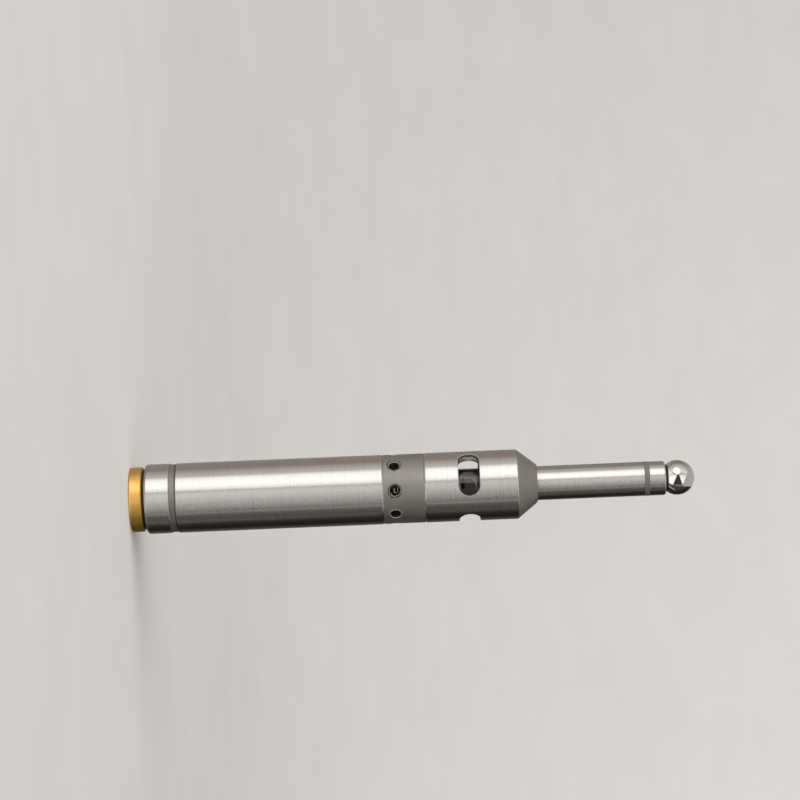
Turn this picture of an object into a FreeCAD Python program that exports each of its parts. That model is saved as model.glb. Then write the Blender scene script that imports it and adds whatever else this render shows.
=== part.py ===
import FreeCAD, Part
import math
import os

# Electronic edge finder: a battery-powered probe with a 20 mm clamping shank
# and a 10 mm steel ball on a sprung, insulated seat.
# Units are millimetres.  +Z runs along the tool from the battery cap to the
# ball, z = 0 is the flat rear face of the cap, and X = Y = 0 is the axis.

V = FreeCAD.Vector

# ---------------------------------------------------------------- dimensions
SHANK_R = 10.0            # clamping shank, 20 mm across
CAP_R = 9.3               # battery cap disc
CAP_T = 3.7               # thickness of the cap disc
GAP_SEAL = 0.8            # space taken by the sealing ring
SHANK_Z0 = CAP_T + GAP_SEAL          # 4.5
SHANK_Z1 = 72.7
GROOVE_Z0 = 11.55         # shallow recessed mark round the shank
GROOVE_Z1 = 13.5
GROOVE_R = 9.72
CAP_THREAD_R = 7.5        # M15 x 1 thread of the cap, cut plain here
CAP_THREAD_END = 10.2
RUN = 0.05                # radial running clearance
BATTERY_R = 6.0           # N-size cell, 12.0 x 30.2
BATTERY_L = 30.2
BATTERY_Z0 = 11.0
TUBE_BORE_R = 6.4

EDGE = 0.32               # length of the bright edge chamfers at the band
BAND_EDGE = 0.25
BAND_R = 9.93             # matt sleeve with the sound holes
BAND_Z1 = 84.6
BAND_BORE_R = 6.6
BAND_REAR_R = 7.95        # its two threaded spigots
BAND_REAR_Z = 65.0
BAND_FRONT_R = 8.45
BAND_FRONT_Z = 90.0
HOLE_COUNT = 8
HOLE_R = 1.56
HOLE_RIM_R = 1.72
HOLE_Z = 76.05
HOLE_PHI0 = 2.5

FRONT_Z1 = 111.2          # end of the polished front housing, cone begins
CONE_Z1 = 116.9
CONE_R1 = 5.45
FRONT_BORE_R = 7.5
FRONT_WALL_Z = 106.5      # thick front wall that holds the nose
SLOT_COUNT = 3
SLOT_W = 6.0
SLOT_HALF_ARC = 40.8      # half of the whole opening, degrees
SLOT_Z = 97.3
SLOT_PHI0 = -24.6

NOSE_R = 4.9
NOSE_Z0 = 107.0
NOSE_Z1 = 147.75
NOSE_BORE_R = 3.5
RING_R = 4.93             # insulating ring between nose and seat
RING_Z1 = 149.1
SEAT_Z1 = 153.77
BALL_R = 5.0
BALL_Z = 157.3
SEAT_R = 3.54             # circle on which the ball sits
SEAT_GAP = 0.04
GUIDE_R = 2.6             # bore behind the ball

LED_Z0 = 92.0
LED_R = 5.0
LED_FLANGE_R = 5.5
LED_H = 13.5

SPRING_WIRE = 0.25        # wire radius of the tension spring
SPRING_R = 1.95           # mean coil radius
EYE_R = 1.1               # mean radius of the hooks and eyes
EYE_WIRE = 0.35


# ------------------------------------------------------------------- helpers
def turned(points):
    """Solid of revolution about Z from a closed outline of (r, z) points.
    A point written as ("arc", (r, z), (r, z)) is an arc through a middle
    point to an end point."""
    edges = []
    start = points[0]
    last = start
    for item in points[1:] + [start]:
        if item[0] == "arc":
            mid, end = item[1], item[2]
            edges.append(Part.Arc(V(last[0], 0, last[1]), V(mid[0], 0, mid[1]),
                                  V(end[0], 0, end[1])).toShape())
            last = end
        else:
            if abs(item[0] - last[0]) + abs(item[1] - last[1]) > 1e-9:
                edges.append(Part.makeLine(V(last[0], 0, last[1]),
                                           V(item[0], 0, item[1])))
            last = item
    face = Part.Face(Part.Wire(edges))
    solid = face.revolve(V(0, 0, 0), V(0, 0, 1), 360)
    if solid.ShapeType != "Solid":
        solid = solid.Solids[0]
    if solid.Volume < 0:
        solid.reverse()
    return solid


def around(phi, r, z=0.0):
    """Point at angle phi round the tool; phi = 0 faces -Y, phi = 90 is +X."""
    a = math.radians(phi)
    return V(r * math.sin(a), -r * math.cos(a), z)


def radial_cylinder(phi, z, radius, r0, r1):
    d = around(phi, 1.0)
    return Part.makeCylinder(radius, r1 - r0, around(phi, r0, z), d)


def radial_cone(phi, z, radius0, radius1, r0, r1):
    d = around(phi, 1.0)
    return Part.makeCone(radius0, radius1, r1 - r0, around(phi, r0, z), d)


def torus(center, axis, major, minor):
    return Part.makeTorus(major, minor, center, axis)


def rod(a, b, radius):
    d = b.sub(a)
    return Part.makeCylinder(radius, d.Length, a, d)


def coil(radius, z0, z1, pitch, wire, cone=0.0, flip=False, angle=0.0):
    """Round-wire coil about Z.  The centre line climbs from z0 to z1."""
    height = z1 - z0
    helix = Part.makeHelix(pitch, height, radius, cone)
    path = Part.Wire(helix.Edges)
    p0 = path.Edges[0].valueAt(path.Edges[0].FirstParameter)
    t0 = path.Edges[0].tangentAt(path.Edges[0].FirstParameter)
    circle = Part.Wire([Part.makeCircle(wire, p0, t0)])
    solid = path.makePipeShell([circle], True, True)
    if solid.ShapeType != "Solid":
        solid = Part.Solid(solid)
    if solid.Volume < 0:
        solid.reverse()
    if flip:
        solid.rotate(V(0, 0, height / 2.0), V(1, 0, 0), 180)
    solid.rotate(V(0, 0, 0), V(0, 0, 1), angle)
    solid.translate(V(0, 0, z0))
    return solid


def ring(r_in, r_out, z0, z1):
    return turned([(r_in, z0), (r_out, z0), (r_out, z1), (r_in, z1)])


nodes = {}

# ------------------------------------------------------------- battery cap
# Gold anodised disc with a threaded, hollow spigot.  The rear edge is
# rounded and the front edge is chamfered.
nodes["end_cap"] = turned([
    (0, 0), (CAP_R - 0.55, 0),
    ("arc", (CAP_R - 0.55 + 0.55 * math.sin(math.radians(45)),
             0.55 - 0.55 * math.cos(math.radians(45))), (CAP_R, 0.55)),
    (CAP_R, CAP_T - 0.3), (CAP_R - 0.3, CAP_T),
    (7.2, CAP_T), (7.2, SHANK_Z0 + 0.5),
    (CAP_THREAD_R, SHANK_Z0 + 0.8), (CAP_THREAD_R, CAP_THREAD_END - 0.5),
    (CAP_THREAD_R - 0.5, CAP_THREAD_END), (5.3, CAP_THREAD_END),
    (5.0, CAP_THREAD_END - 0.3), (5.0, 4.0), (0, 4.0)])

# Black rubber ring squeezed between cap and shank, slightly bulged outside.
nodes["cap_o_ring"] = turned([
    (7.3, CAP_T + 0.04), (8.3, CAP_T + 0.04),
    ("arc", (8.6, CAP_T + 0.4), (8.3, CAP_T + 0.76)),
    (7.3, CAP_T + 0.76)])

# Coil that presses the cells forward and closes the circuit.
nodes["cap_contact_spring"] = coil(3.9, 4.42, 10.58, 1.54, 0.40)

# ------------------------------------------------------------------- cells
def cell(z0):
    z1 = z0 + BATTERY_L
    return turned([(0, z0), (BATTERY_R - 0.9, z0), (BATTERY_R - 0.35, z0 + 0.25),
                   (BATTERY_R, z0 + 0.6), (BATTERY_R, z1 - 1.5),
                   (BATTERY_R - 0.4, z1 - 1.0), (2.35, z1 - 0.85),
                   (2.1, z1 - 0.7), (2.1, z1 - 0.15), (1.9, z1), (0, z1)])


nodes["battery_rear"] = cell(BATTERY_Z0)
nodes["battery_front"] = cell(BATTERY_Z0 + BATTERY_L)
CELLS_END = BATTERY_Z0 + 2 * BATTERY_L          # 71.4

# ------------------------------------------------------------- shank tube
# Ground steel tube.  Its rear edge has a lead-in chamfer for the chuck.
nodes["shank_tube"] = turned([
    (CAP_THREAD_R + RUN + 0.5, SHANK_Z0), (SHANK_R - 0.55, SHANK_Z0),
    (SHANK_R, SHANK_Z0 + 0.55), (SHANK_R, GROOVE_Z0 - 0.12),
    (SHANK_R - 0.12, GROOVE_Z0), (GROOVE_R, GROOVE_Z0 + 0.04),
    (GROOVE_R, GROOVE_Z1 - 0.04), (SHANK_R - 0.12, GROOVE_Z1),
    (SHANK_R, GROOVE_Z1 + 0.12), (SHANK_R, SHANK_Z1 - EDGE),
    (SHANK_R - 0.24, SHANK_Z1), (8.0, SHANK_Z1), (8.0, BAND_REAR_Z - 0.5),
    (TUBE_BORE_R, BAND_REAR_Z - 0.5), (TUBE_BORE_R, 11.2),
    (CAP_THREAD_R + RUN, 11.2), (CAP_THREAD_R + RUN, SHANK_Z0 + 0.5)])

# ------------------------------------------------------- sleeve with holes
sleeve = turned([
    (BAND_BORE_R, BAND_REAR_Z), (BAND_REAR_R, BAND_REAR_Z),
    (BAND_REAR_R, SHANK_Z1), (BAND_R - 0.12, SHANK_Z1),
    (BAND_R, SHANK_Z1 + BAND_EDGE), (BAND_R, BAND_Z1 - BAND_EDGE),
    (BAND_R - 0.12, BAND_Z1), (BAND_FRONT_R, BAND_Z1),
    (BAND_FRONT_R, BAND_FRONT_Z), (BAND_BORE_R, BAND_FRONT_Z)])
for k in range(HOLE_COUNT):
    phi = HOLE_PHI0 + k * 360.0 / HOLE_COUNT
    sleeve = sleeve.cut(radial_cylinder(phi, HOLE_Z, HOLE_R, 5.5, 10.6))
    depth = HOLE_RIM_R - HOLE_R
    sleeve = sleeve.cut(radial_cone(phi, HOLE_Z, HOLE_R, HOLE_R + depth + 0.3,
                                    BAND_R - depth - 0.07,
                                    BAND_R + 0.3 - 0.07))
nodes["vent_sleeve"] = sleeve

# ---------------------------------------------- electronics in the sleeve
# Conical contact coil, small end on the cell's cap, wide end on the board.
nodes["front_contact_spring"] = coil(5.15, 0.0, 78.0 - CELLS_END - 0.7, 1.55,
                                     0.35, cone=-20.0)
nodes["front_contact_spring"].rotate(V(0, 0, 0), V(1, 0, 0), 180)
nodes["front_contact_spring"].translate(V(0, 0, 78.0 - 0.37))

PIN_R = 0.35
PIN_POS = [around(80.0, 5.6), around(-100.0, 5.6)]
board = ring(0.6, 6.45, 78.0, 79.2)
main_board = Part.makeCylinder(6.3, 1.2, V(0, 0, 86.0))
for p in PIN_POS:
    hole = Part.makeCylinder(PIN_R + 0.02, 12.0, V(p.x, p.y, 77.0))
    board = board.cut(hole)
    main_board = main_board.cut(hole)
LEAD = 0.5                # LED lead, square
LEAD_X = 1.27
for sx in (-1, 1):
    main_board = main_board.cut(Part.makeBox(
        LEAD + 0.1, LEAD + 0.1, 3.0,
        V(sx * LEAD_X - LEAD / 2 - 0.05, -LEAD / 2 - 0.05, 85.5)))
nodes["contact_board"] = board
nodes["circuit_board"] = main_board
nodes["board_pins"] = Part.makeCompound([
    Part.makeCylinder(PIN_R, 9.6, V(p.x, p.y, 78.0)) for p in PIN_POS])

# Round buzzer, sound port towards the front, standing off the contact board.
nodes["buzzer"] = turned([
    (0, 79.2), (4.5, 79.2), (4.6, 79.3), (4.6, 84.4), (4.3, 84.7),
    (1.0, 84.7), (1.0, 83.9), (0, 83.9)])


def chip(cx, cy, z, lx, ly, lz, ch):
    b = Part.makeBox(lx, ly, lz, V(cx - lx / 2, cy - ly / 2, z))
    return b.makeChamfer(ch, [e for e in b.Edges
                              if e.BoundBox.ZMin > z + lz - 1e-6])


nodes["board_transistor"] = chip(-2.2, 3.4, 87.2, 2.9, 1.5, 1.1, 0.15)
nodes["board_resistors"] = Part.makeCompound([
    chip(2.6, 3.2, 87.2, 2.0, 1.25, 0.55, 0.06),
    chip(2.6, -3.2, 87.2, 2.0, 1.25, 0.55, 0.06),
    chip(-0.3, -3.9, 87.2, 1.25, 2.0, 0.55, 0.06)])
nodes["board_capacitor"] = chip(-3.4, -2.6, 87.2, 2.0, 1.4, 1.2, 0.08)

# --------------------------------------------------------------- indicator
# Lead frame: two square leads, one with the reflector cup, one with a post.
cup_z = LED_Z0 + 3.0
cup = turned([(0, cup_z), (0.85, cup_z), (1.25, cup_z + 1.1),
              (0.95, cup_z + 1.1), (0.45, cup_z + 0.55), (0, cup_z + 0.55)])
cup.translate(V(-0.55, 0, 0))
LEAD_Z0 = 85.1
lead_a = Part.makeBox(LEAD, LEAD, cup_z + 0.2 - LEAD_Z0,
                      V(-LEAD_X - LEAD / 2, -LEAD / 2, LEAD_Z0))
arm_a = Part.makeBox(1.3, LEAD, 0.9, V(-LEAD_X - LEAD / 2, -LEAD / 2,
                                       cup_z - 0.85))
lead_b = Part.makeBox(LEAD, LEAD, LED_Z0 + 4.0 - LEAD_Z0,
                      V(LEAD_X - LEAD / 2, -LEAD / 2, LEAD_Z0))
arm_b = Part.makeBox(0.9, LEAD, 1.1, V(LEAD_X - 0.55, -LEAD / 2,
                                       LED_Z0 + 2.9))
lead_a = lead_a.fuse([arm_a, cup]).removeSplitter()
lead_b = lead_b.fuse([arm_b]).removeSplitter()
frame = Part.makeCompound([lead_a.Solids[0], lead_b.Solids[0]])
nodes["led_leadframe"] = frame

lens = turned([
    (0, LED_Z0), (LED_FLANGE_R, LED_Z0), (LED_FLANGE_R, LED_Z0 + 0.9),
    (LED_R + 0.05, LED_Z0 + 1.0), (LED_R, LED_Z0 + 1.15),
    (LED_R, LED_Z0 + LED_H - LED_R),
    ("arc", (LED_R * math.cos(math.radians(45)),
             LED_Z0 + LED_H - LED_R + LED_R * math.sin(math.radians(45))),
     (0, LED_Z0 + LED_H))])
nodes["led_lens"] = lens.cut(frame)

# Plastic disc that holds the lamp, pinched between sleeve and housing.
holder = turned([
    (0, BAND_FRONT_Z), (8.42, BAND_FRONT_Z), (8.42, BAND_FRONT_Z + 0.5),
    (7.42, BAND_FRONT_Z + 0.5), (7.42, LED_Z0), (0, LED_Z0)])
for sx in (-1, 1):
    holder = holder.cut(Part.makeBox(LEAD + 0.06, LEAD + 0.06, 4.0,
                                     V(sx * LEAD_X - LEAD / 2 - 0.03,
                                       -LEAD / 2 - 0.03, 89.0)))
WIRE_PHI = 155.4
WIRE_R = 0.4
pw = around(WIRE_PHI, 6.1)
holder = holder.cut(Part.makeCylinder(0.55, 4.0, V(pw.x, pw.y, 89.0)))
nodes["led_holder"] = holder

# ---------------------------------------------------------- front housing
housing = turned([
    (BAND_FRONT_R + 0.03, BAND_Z1), (SHANK_R - 0.24, BAND_Z1),
    (SHANK_R, BAND_Z1 + EDGE), (SHANK_R, FRONT_Z1 - 0.1),
    (SHANK_R - 0.08, FRONT_Z1 + 0.06),
    (CONE_R1 + 0.1, CONE_Z1 - 0.12), (CONE_R1 - 0.04, CONE_Z1),
    (NOSE_R + 0.02, CONE_Z1), (NOSE_R + 0.02, FRONT_WALL_Z),
    (FRONT_BORE_R, FRONT_WALL_Z), (FRONT_BORE_R, BAND_FRONT_Z + 0.5),
    (BAND_FRONT_R + 0.03, BAND_FRONT_Z + 0.5)])
arc_c = SLOT_HALF_ARC - math.degrees(math.asin(SLOT_W / 2 / SHANK_R))


def slot_cutter(phi, half_w, arc, r0, r1):
    sector = turned([(r0, SLOT_Z - half_w), (r1, SLOT_Z - half_w),
                     (r1, SLOT_Z + half_w), (r0, SLOT_Z + half_w)])
    wedge = Part.makePolygon([V(0, 0, SLOT_Z - 6), around(phi - arc, 30, SLOT_Z - 6),
                              around(phi, 30, SLOT_Z - 6),
                              around(phi + arc, 30, SLOT_Z - 6),
                              V(0, 0, SLOT_Z - 6)])
    wedge = Part.Face(wedge).extrude(V(0, 0, 12))
    sector = sector.common(wedge)
    return sector.fuse([radial_cylinder(phi - arc, SLOT_Z, half_w, 4.0, r1),
                        radial_cylinder(phi + arc, SLOT_Z, half_w, 4.0, r1)]
                       ).removeSplitter()


for k in range(SLOT_COUNT):
    phi = SLOT_PHI0 + k * 120.0
    housing = housing.cut(slot_cutter(phi, SLOT_W / 2, arc_c, 4.5, 11.0))
rim = []
for e in housing.Edges:
    b = e.BoundBox
    if b.ZMin < SLOT_Z - 3.5 or b.ZMax > SLOT_Z + 3.5 or b.ZLength > 6.5:
        continue
    rs = [math.hypot(p.x, p.y) for p in e.discretize(7)]
    if min(rs) > SHANK_R - 1e-3:
        rim.append(e)
try:
    chamfered = housing.makeChamfer(0.16, rim)
    if chamfered.isValid() and 0 < housing.Volume - chamfered.Volume < 20:
        housing = chamfered
        print("slot rims chamfered", len(rim))
    else:
        print("slot chamfer rejected")
except Exception as err:
    print("slot chamfer failed", err)
if housing.ShapeType != "Solid":
    housing = housing.Solids[0]
nodes["front_housing"] = housing

# ------------------------------------------------------------------- nose
nodes["nose_tube"] = turned([
    (NOSE_BORE_R, NOSE_Z0), (NOSE_R - 0.3, NOSE_Z0), (NOSE_R, NOSE_Z0 + 0.3),
    (NOSE_R, NOSE_Z1 - 0.1), (NOSE_R - 0.1, NOSE_Z1), (NOSE_BORE_R, NOSE_Z1)])

ANCHOR_Z0, ANCHOR_Z1 = 109.5, 113.5
nodes["anchor_plug"] = ring(0.47, NOSE_BORE_R - 0.03, ANCHOR_Z0, ANCHOR_Z1)
pwi = around(WIRE_PHI, 2.0)
EYE_A_Z = 115.9
hook = rod(V(0, 0, 108.6), V(0, 0, EYE_A_Z - EYE_R), 0.45)
hook = hook.fuse(torus(V(0, 0, EYE_A_Z), V(0, 1, 0), EYE_R, EYE_WIRE))
nodes["anchor_hook"] = hook.removeSplitter()

nodes["insulating_liner"] = ring(2.95, NOSE_BORE_R - 0.03, ANCHOR_Z1, 142.4)
nodes["insulating_bush"] = turned([
    (GUIDE_R, 142.4), (NOSE_BORE_R - 0.03, 142.4),
    (NOSE_BORE_R - 0.03, NOSE_Z1), (RING_R, NOSE_Z1), (RING_R, RING_Z1),
    (3.45, RING_Z1), (3.45, 151.0), (GUIDE_R, 151.0)])

# Seat: the ball rests on a narrow cone whose mouth is the seat circle.
slope = SEAT_R / math.sqrt(BALL_R ** 2 - SEAT_R ** 2)
drop = SEAT_GAP * BALL_R / math.sqrt(BALL_R ** 2 - SEAT_R ** 2)
seat_top = SEAT_Z1
nodes["ball_seat"] = turned([
    (3.48, RING_Z1), (NOSE_R - 0.1, RING_Z1), (NOSE_R, RING_Z1 + 0.1),
    (NOSE_R, seat_top - 0.35), (NOSE_R - 0.3, seat_top),
    (SEAT_R + 0.15, seat_top), (SEAT_R, seat_top - drop - 0.02),
    (GUIDE_R + 0.02, seat_top - drop - 0.02 - slope * (SEAT_R - GUIDE_R - 0.02)),
    (GUIDE_R + 0.02, 151.05), (3.48, 151.05)])

# ------------------------------------------------------------ ball and pull
ball = Part.makeSphere(BALL_R, V(0, 0, BALL_Z))
STEM_R = 0.9
ball = ball.cut(Part.makeCylinder(STEM_R + 0.01, BALL_Z + 1.0 - 150.0,
                                  V(0, 0, 150.0)))
nodes["probe_ball"] = ball
EYE_B_Z = 150.6
stem = Part.makeCylinder(STEM_R, BALL_Z + 0.9 - (EYE_B_Z + EYE_R), 
                         V(0, 0, EYE_B_Z + EYE_R))
stem = stem.fuse(torus(V(0, 0, EYE_B_Z), V(0, 1, 0), EYE_R, EYE_WIRE))
nodes["ball_stem"] = stem.removeSplitter()

# Tension spring: close coil with a round hook at each end.
hook_gap = EYE_R * 2 - EYE_WIRE - SPRING_WIRE - 0.03
LOOP_A_Z = EYE_A_Z + hook_gap
LOOP_B_Z = EYE_B_Z - hook_gap
COIL_Z0 = LOOP_A_Z + EYE_R + 0.15
COIL_Z1 = LOOP_B_Z - EYE_R - 0.15
TURNS = 36
pitch = (COIL_Z1 - COIL_Z0) / TURNS
body = coil(SPRING_R, COIL_Z0, COIL_Z1, pitch, SPRING_WIRE)
parts = [
    torus(V(0, 0, LOOP_A_Z), V(1, 0, 0), EYE_R, SPRING_WIRE),
    torus(V(0, 0, LOOP_B_Z), V(1, 0, 0), EYE_R, SPRING_WIRE),
    rod(V(SPRING_R + 0.05, 0, COIL_Z0), V(0, 0, LOOP_A_Z + EYE_R), SPRING_WIRE),
    rod(V(SPRING_R + 0.05, 0, COIL_Z1), V(0, 0, LOOP_B_Z - EYE_R), SPRING_WIRE)]
spring = body.fuse(parts)
print("tension spring solids", len(spring.Solids), "pitch", round(pitch, 3),
      "z", round(COIL_Z0, 2), round(COIL_Z1, 2))
nodes["tension_spring"] = spring.Solids[0] if len(spring.Solids) == 1 else spring

# ---------------------------------------------------------------- signal lead
# Insulated wire from the spring's anchor, past the lamp, to the board.
route = [(2.0, 109.45), (2.0, 106.9), (6.1, 102.6), (6.1, 89.0), (5.4, 87.5)]


def tube_along(pts, radius):
    edges = []
    last = pts[0]
    for i in range(1, len(pts) - 1):
        a, b, c = pts[i - 1], pts[i], pts[i + 1]
        u = b.sub(a)
        w = c.sub(b)
        lu, lw = u.Length, w.Length
        u.normalize()
        w.normalize()
        turn = math.acos(max(-1, min(1, u.dot(w))))
        bend = 0.45 * min(lu, lw) / math.tan(turn / 2)
        cut = 0.45 * min(lu, lw)
        s = b.sub(u * cut)
        e = b.add(w * cut)
        bis = w.sub(u)
        bis.normalize()
        mid = b.add(bis * (bend / math.cos(turn / 2) - bend))
        edges.append(Part.makeLine(last, s))
        edges.append(Part.Arc(s, mid, e).toShape())
        last = e
        print("lead bend radius", round(bend, 2))
    edges.append(Part.makeLine(last, pts[-1]))
    path = Part.Wire(edges)
    d = pts[1].sub(pts[0])
    prof = Part.Wire([Part.makeCircle(radius, pts[0], d)])
    solid = path.makePipeShell([prof], True, True)
    if solid.ShapeType != "Solid":
        solid = Part.Solid(solid)
    if solid.Volume < 0:
        solid.reverse()
    print("lead volume", round(solid.Volume, 2), "section x length",
          round(math.pi * radius ** 2 * path.Length, 2))
    return solid


nodes["signal_lead"] = tube_along([around(WIRE_PHI, r, z) for r, z in route],
                                  WIRE_R)

# --------------------------------------------------------------------- write
os.makedirs("parts", exist_ok=True)
for name, shape in nodes.items():
    if not shape.isValid():
        print("NOT VALID", name)
    shape.exportStep("parts/" + name + ".step")
    bb = shape.BoundBox
    print("%-22s solids %d volume %9.2f  z %.2f..%.2f  r %.2f" % (
        name, len(shape.Solids), shape.Volume, bb.ZMin, bb.ZMax,
        max(abs(bb.XMin), abs(bb.XMax), abs(bb.YMin), abs(bb.YMax))))
print(len(nodes), "nodes")
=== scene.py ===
import math

import bpy
import numpy as np
from mathutils import Matrix, Vector
from mathutils.geometry import delaunay_2d_cdt


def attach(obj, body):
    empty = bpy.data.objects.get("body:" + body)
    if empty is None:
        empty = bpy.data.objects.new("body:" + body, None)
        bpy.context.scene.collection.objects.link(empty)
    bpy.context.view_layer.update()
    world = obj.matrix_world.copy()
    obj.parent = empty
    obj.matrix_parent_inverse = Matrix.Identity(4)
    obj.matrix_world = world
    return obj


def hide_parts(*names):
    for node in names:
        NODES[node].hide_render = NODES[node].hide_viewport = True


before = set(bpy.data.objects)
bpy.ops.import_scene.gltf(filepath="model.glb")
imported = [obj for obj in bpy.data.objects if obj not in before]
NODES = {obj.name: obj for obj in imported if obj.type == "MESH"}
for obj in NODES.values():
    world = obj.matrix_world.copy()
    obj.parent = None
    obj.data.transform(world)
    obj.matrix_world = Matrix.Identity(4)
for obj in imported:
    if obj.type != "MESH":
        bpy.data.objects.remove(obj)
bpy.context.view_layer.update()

MM = 0.001
SC = bpy.context.scene

# =====================================================================
# camera: square to the tool's side, rolled so the tool lies level
# =====================================================================
FOCAL_PX = 2444.0
P0 = Vector((34.4, 24.17, 704.3))          # a point of the axis, z = 111.9
P0_Z = 111.9
ALPHA, BETA = math.radians(-2.38), math.radians(-0.25)
U = Vector((math.cos(ALPHA) * math.cos(BETA),
            math.sin(ALPHA) * math.cos(BETA), math.sin(BETA)))
along = P0.dot(U)
perp = P0 - U * along
YP = perp.normalized()
XP = YP.cross(U)
AX = Matrix((XP, YP, U))                   # camera axes to tool axes
cam_pos = Vector((0.0, -perp.length, P0_Z - along))
right = AX @ Vector((1, 0, 0))
up = AX @ Vector((0, -1, 0))
back = AX @ Vector((0, 0, -1))
M = Matrix(((right.x, up.x, back.x, cam_pos.x * MM),
            (right.y, up.y, back.y, cam_pos.y * MM),
            (right.z, up.z, back.z, cam_pos.z * MM),
            (0, 0, 0, 1)))
cam_data = bpy.data.cameras.new("camera")
cam_data.sensor_width = 36.0
cam_data.lens = FOCAL_PX * 36.0 / 800.0
cam_data.clip_start = 0.01
cam_data.clip_end = 20.0
cam = bpy.data.objects.new("camera", cam_data)
cam.matrix_world = M
SC.collection.objects.link(cam)
SC.camera = cam
SC.view_settings.view_transform = "Standard"
SC.view_settings.look = "None"


# =====================================================================
# materials
# =====================================================================
def lin(*c):
    return tuple(((v / 255.0) / 12.92 if v / 255.0 <= 0.04045
                  else (((v / 255.0) + 0.055) / 1.055) ** 2.4) for v in c)


class Mat:
    """Small wrapper round a Principled material."""

    def __init__(self, name, color, rough, metal=0.0, **consts):
        self.m = bpy.data.materials.new(name)
        self.m.use_nodes = True
        self.t = self.m.node_tree
        self.b = self.t.nodes["Principled BSDF"]
        self.b.inputs["Base Color"].default_value = (*color, 1)
        self.b.inputs["Roughness"].default_value = rough
        self.b.inputs["Metallic"].default_value = metal
        for k, v in consts.items():
            self.b.inputs[k.replace("_", " ")].default_value = v
        self.coord = None

    def n(self, kind, **props):
        node = self.t.nodes.new(kind)
        for k, v in props.items():
            setattr(node, k, v)
        return node

    def link(self, a, b):
        self.t.links.new(a, b)

    def mm(self, sx=1.0, sy=1.0, sz=1.0):
        """Object coordinates in millimetres, scaled per axis."""
        if self.coord is None:
            self.coord = self.n("ShaderNodeTexCoord")
        v = self.n("ShaderNodeVectorMath", operation="MULTIPLY")
        self.link(self.coord.outputs["Object"], v.inputs[0])
        v.inputs[1].default_value = (1000 * sx, 1000 * sy, 1000 * sz)
        return v.outputs[0]

    def noise(self, vec, scale=1.0, detail=3.0, rough=0.55):
        t = self.n("ShaderNodeTexNoise")
        t.inputs["Scale"].default_value = scale
        t.inputs["Detail"].default_value = detail
        t.inputs["Roughness"].default_value = rough
        self.link(vec, t.inputs["Vector"])
        return t.outputs["Fac"]

    def range(self, fac, lo, hi, a=0.3, b=0.7):
        r = self.n("ShaderNodeMapRange")
        r.inputs["From Min"].default_value = a
        r.inputs["From Max"].default_value = b
        r.inputs["To Min"].default_value = lo
        r.inputs["To Max"].default_value = hi
        self.link(fac, r.inputs["Value"])
        return r.outputs[0]

    def mul(self, a, b):
        m = self.n("ShaderNodeMath", operation="MULTIPLY")
        self.link(a, m.inputs[0])
        self.link(b, m.inputs[1])
        return m.outputs[0]

    def add(self, a, b, k=1.0):
        m = self.n("ShaderNodeMath", operation="MULTIPLY_ADD")
        self.link(b, m.inputs[0])
        m.inputs[1].default_value = k
        self.link(a, m.inputs[2])
        return m.outputs[0]

    def mix(self, fac, c0, c1, a=0.35, b=0.65):
        r = self.n("ShaderNodeValToRGB")
        r.color_ramp.elements[0].position = a
        r.color_ramp.elements[0].color = (*c0, 1)
        r.color_ramp.elements[1].position = b
        r.color_ramp.elements[1].color = (*c1, 1)
        self.link(fac, r.inputs["Fac"])
        return r.outputs["Color"]

    def base(self, out):
        self.link(out, self.b.inputs["Base Color"])

    def roughness(self, out):
        self.link(out, self.b.inputs["Roughness"])

    def bump(self, out, strength, dist_mm):
        b = self.n("ShaderNodeBump")
        b.inputs["Strength"].default_value = strength
        b.inputs["Distance"].default_value = dist_mm * MM
        self.link(out, b.inputs["Height"])
        self.link(b.outputs["Normal"], self.b.inputs["Normal"])

    def brushed(self, amount):
        """Highlights stretch along the tool, across the grinding lines."""
        t = self.n("ShaderNodeTangent", direction_type="RADIAL", axis="Z")
        self.link(t.outputs["Tangent"], self.b.inputs["Tangent"])
        self.b.inputs["Anisotropic"].default_value = amount
        self.b.inputs["Anisotropic Rotation"].default_value = 0.25


def scaled(c, k):
    return tuple(min(1.0, v * k) for v in c)


def ground_steel(name, color, rough, line, aniso=1.0, dist=0.0010):
    """Cylindrically ground steel: fine lines run round the part."""
    m = Mat(name, color, rough, 1.0)
    fine = m.noise(m.mm(0.06, 0.06, 11.0), 1.0, 4.0, 0.7)
    mid = m.noise(m.mm(0.03, 0.03, 2.4), 1.0, 3.0, 0.6)
    blotch = m.noise(m.mm(0.30, 0.30, 0.10), 1.0, 3.0, 0.6)
    grain = m.noise(m.mm(2.6, 2.6, 5.0), 1.0, 2.0, 0.6)
    lines = m.add(m.add(fine, mid, 0.9), blotch, 0.3)
    m.base(m.mix(lines, scaled(color, 0.90), scaled(color, 1.05), 0.85, 1.3))
    m.roughness(m.range(m.add(fine, grain, 0.7), rough * 0.88, rough * 1.12,
                        0.6, 1.05))
    m.bump(m.add(m.add(fine, mid, 0.35), grain, 0.35), line, dist)
    m.brushed(aniso)
    return m.m


STEEL = (0.66, 0.645, 0.63)
mat_ground = ground_steel("ground_steel", STEEL, 0.28, 0.16)
mat_polish = ground_steel("polished_steel", STEEL, 0.27, 0.09)
mat_seat = ground_steel("seat_steel", STEEL, 0.26, 0.09)


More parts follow.
